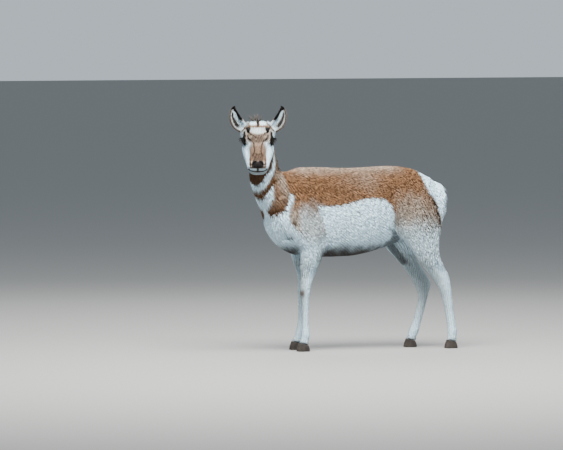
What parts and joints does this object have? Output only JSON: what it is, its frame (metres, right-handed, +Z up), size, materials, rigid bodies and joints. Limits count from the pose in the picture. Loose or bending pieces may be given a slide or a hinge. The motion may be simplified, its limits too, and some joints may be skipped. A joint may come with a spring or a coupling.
{
  "type": "pronghorn",
  "caption": "Life-size standing pronghorn doe, body side-on and head turned to the left, with upright cupped ears, short horn buds, slim legs and split hooves.",
  "frame": {"origin": "on the ground under the middle of the animal's whole box", "axes": "-X the way the body faces, -Y the animal's left side, +Z up"},
  "size_m": [1.0956, 0.3794, 1.1315],
  "materials": {
    "coat": "short dense matt fur, tan above and white below",
    "white_coat": "longer matt white hair",
    "eye": "wet gloss",
    "horn": "satin, finely ridged",
    "hoof": "satin, finely ridged"
  },
  "bodies": {
    "root": {"torso": "coat", "neck": "coat", "head": "coat", "tail": "white_coat", "ear_left": "coat", "ear_right": "coat", "horn_left": "horn", "horn_right": "horn", "eye_left": "eye", "eye_right": "eye", "foreleg_left_upper": "coat", "foreleg_left_lower": "coat", "foreleg_left_hoof_inner": "hoof", "foreleg_left_hoof_outer": "hoof", "foreleg_right_upper": "coat", "foreleg_right_lower": "coat", "foreleg_right_hoof_inner": "hoof", "foreleg_right_hoof_outer": "hoof", "hindleg_left_upper": "coat", "hindleg_left_lower": "coat", "hindleg_left_hoof_inner": "hoof", "hindleg_left_hoof_outer": "hoof", "hindleg_right_upper": "coat", "hindleg_right_lower": "coat", "hindleg_right_hoof_inner": "hoof", "hindleg_right_hoof_outer": "hoof"}
  },
  "joints": []
}
